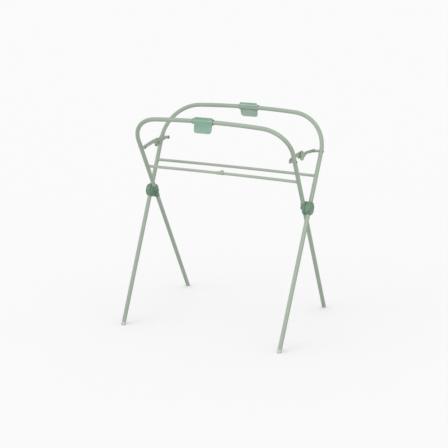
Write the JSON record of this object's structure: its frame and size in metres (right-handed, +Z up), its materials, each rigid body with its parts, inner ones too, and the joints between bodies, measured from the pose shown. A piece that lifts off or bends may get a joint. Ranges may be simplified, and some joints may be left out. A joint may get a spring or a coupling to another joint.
{
  "type": "baby_bath_stand",
  "caption": "Folding X stand that carries a baby bath by its rim: crossed bent tube frames, cross bars, moulded hubs, toggle stays and rim clips on the rails",
  "frame": {"origin": "On the floor midway between the four feet, straight under the fold axis", "axes": "+Z up, +X to the right along the fold axis seen from the front, +Y to the rear; the front rail is at -Y"},
  "size_m": [0.8308, 0.632, 0.981],
  "materials": {
    "frame_coat": "satin powder coat",
    "hub_plastic": "matt moulded",
    "clip_plastic": "satin moulded",
    "cover_plastic": "satin moulded",
    "rivet_steel": "plain",
    "foot_plastic": "matt moulded"
  },
  "bodies": {
    "inner_frame_set": {"inner_frame": "frame_coat", "inner_cross_bar": "frame_coat", "fold_buffer": "cover_plastic", "rear_left_foot": "foot_plastic", "rear_right_foot": "foot_plastic", "left_inner_hub": "hub_plastic", "left_hub_axle": "rivet_steel", "left_hub_washer": "hub_plastic", "left_inner_hub_cap": "hub_plastic", "left_front_rivet": "rivet_steel", "left_front_spacer": "frame_coat", "right_inner_hub": "hub_plastic", "right_hub_axle": "rivet_steel", "right_hub_washer": "hub_plastic", "right_inner_hub_cap": "hub_plastic", "right_front_rivet": "rivet_steel", "right_front_spacer": "frame_coat"},
    "outer_frame_set": {"outer_frame": "frame_coat", "outer_cross_bar": "frame_coat", "front_left_foot": "foot_plastic", "front_right_foot": "foot_plastic", "left_outer_hub": "hub_plastic", "left_outer_hub_cap": "hub_plastic", "left_rear_rivet": "rivet_steel", "left_rear_spacer": "frame_coat", "right_outer_hub": "hub_plastic", "right_outer_hub_cap": "hub_plastic", "right_rear_rivet": "rivet_steel", "right_rear_spacer": "frame_coat"},
    "left_front_arm_set": {"left_front_arm": "frame_coat"},
    "left_rear_arm_set": {"left_rear_arm": "frame_coat", "left_knuckle_cover": "cover_plastic", "left_knuckle_pin": "rivet_steel", "left_knuckle_washer": "rivet_steel", "left_rear_stud": "rivet_steel"},
    "right_front_arm_set": {"right_front_arm": "frame_coat"},
    "right_rear_arm_set": {"right_rear_arm": "frame_coat", "right_knuckle_cover": "cover_plastic", "right_knuckle_pin": "rivet_steel", "right_knuckle_washer": "rivet_steel", "right_rear_stud": "rivet_steel"},
    "front_clip_set": {"front_clip": "clip_plastic"},
    "rear_clip_set": {"rear_clip": "clip_plastic"}
  },
  "joints": [
    {"name": "fold", "type": "hinge", "parent": "inner_frame_set", "child": "outer_frame_set", "pos_m": [0, 0, 0.571], "axis": [1, 0, 0], "range_deg": [0, 45]},
    {"name": "left_stay_pivot", "type": "hinge", "parent": "inner_frame_set", "child": "left_front_arm_set", "pos_m": [-0.3552, -0.12435, 0.80388], "axis": [1, 0, 0], "range_deg": [0, 101]},
    {"name": "left_stay_knuckle", "type": "hinge", "parent": "left_front_arm_set", "child": "left_rear_arm_set", "pos_m": [-0.3579, 0, 0.80388], "axis": [1, 0, 0], "range_deg": [-157, 0]},
    {"name": "right_stay_pivot", "type": "hinge", "parent": "inner_frame_set", "child": "right_front_arm_set", "pos_m": [0.3552, -0.12435, 0.80388], "axis": [1, 0, 0], "range_deg": [0, 101]},
    {"name": "right_stay_knuckle", "type": "hinge", "parent": "right_front_arm_set", "child": "right_rear_arm_set", "pos_m": [0.3579, 0, 0.80388], "axis": [1, 0, 0], "range_deg": [-157, 0]},
    {"name": "front_clip_turn", "type": "hinge", "parent": "inner_frame_set", "child": "front_clip_set", "pos_m": [-0.015, -0.20874, 0.96194], "axis": [1, 0, 0], "range_deg": [-75, 15]},
    {"name": "rear_clip_turn", "type": "hinge", "parent": "outer_frame_set", "child": "rear_clip_set", "pos_m": [0.012, 0.20877, 0.962], "axis": [1, 0, 0], "range_deg": [-15, 75]}
  ],
  "couplings": [
    {"joint": "left_stay_pivot", "follows": "fold", "ratio": 2.2344},
    {"joint": "left_stay_knuckle", "follows": "fold", "ratio": -3.469},
    {"joint": "right_stay_pivot", "follows": "fold", "ratio": 2.2344},
    {"joint": "right_stay_knuckle", "follows": "fold", "ratio": -3.469}
  ]
}
